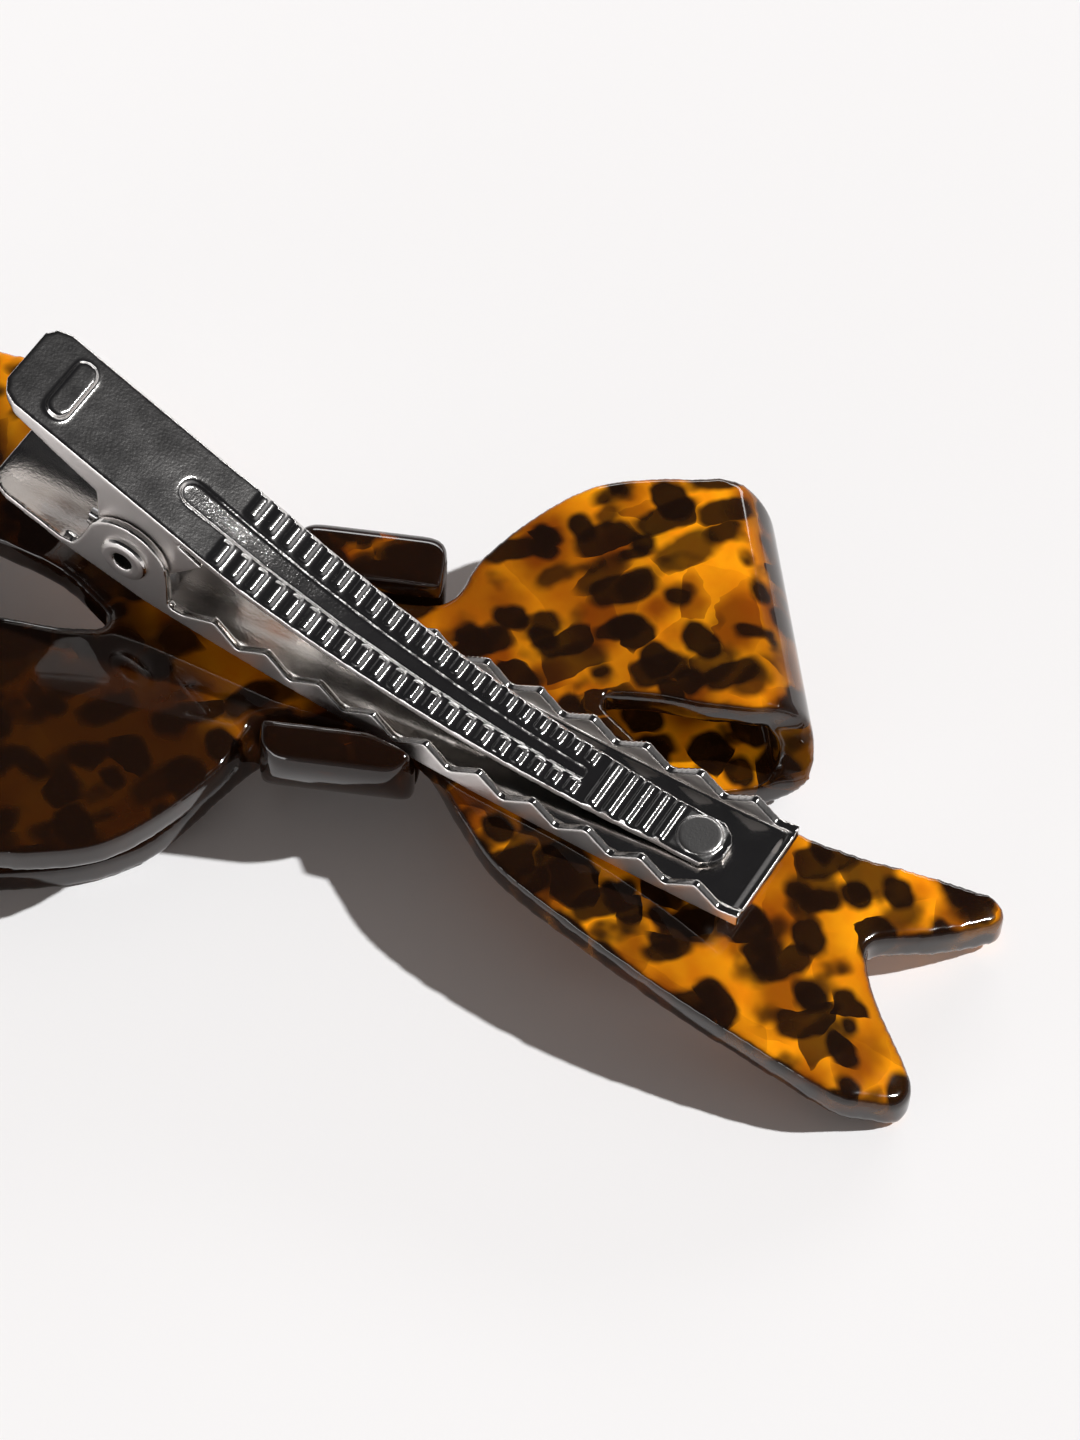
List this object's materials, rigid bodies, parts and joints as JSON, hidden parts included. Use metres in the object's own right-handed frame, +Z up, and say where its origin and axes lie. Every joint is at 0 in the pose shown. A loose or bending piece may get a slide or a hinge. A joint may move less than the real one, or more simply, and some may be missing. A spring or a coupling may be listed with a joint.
{
  "type": "hair barrette",
  "caption": "Folded acetate bow barrette: a looped and tailed bow with a knot band, carried on a sprung toothed steel alligator clip.",
  "frame": {"origin": "under the centre of the bow, on the plane it rests on when laid face down", "axes": "+X along the clip from its thumb plates to its jaw tip, +Z up from the bow's front to the clip on its back"},
  "size_m": [0.09, 0.053, 0.0246],
  "materials": {
    "acetate": "polished tortoiseshell acetate",
    "acetate_knot": "polished tortoiseshell acetate",
    "bond": "set clear adhesive",
    "nickel_jaw": "bright nickel plate on stamped steel",
    "nickel_rivet": "bright nickel plate",
    "spring_wire": "drawn spring wire",
    "nickel_lever": "bright nickel plate on stamped steel"
  },
  "bodies": {
    "bow": {"ribbon": "acetate", "knot_band": "acetate_knot", "jaw_bond": "bond", "lower_jaw": "nickel_jaw", "pivot_rivet": "nickel_rivet", "torsion_spring": "spring_wire"},
    "lever": {"upper_lever": "nickel_lever"}
  },
  "joints": [
    {"name": "lever_hinge", "type": "hinge", "parent": "bow", "child": "lever", "pos_m": [-0.0142, -0.0009, 0.01464], "axis": [0, -1, 0], "range_deg": [0, 43], "stiffness_Nm_per_rad": 0.08, "springref_deg": -68.75, "deforming": ["torsion_spring"]}
  ]
}
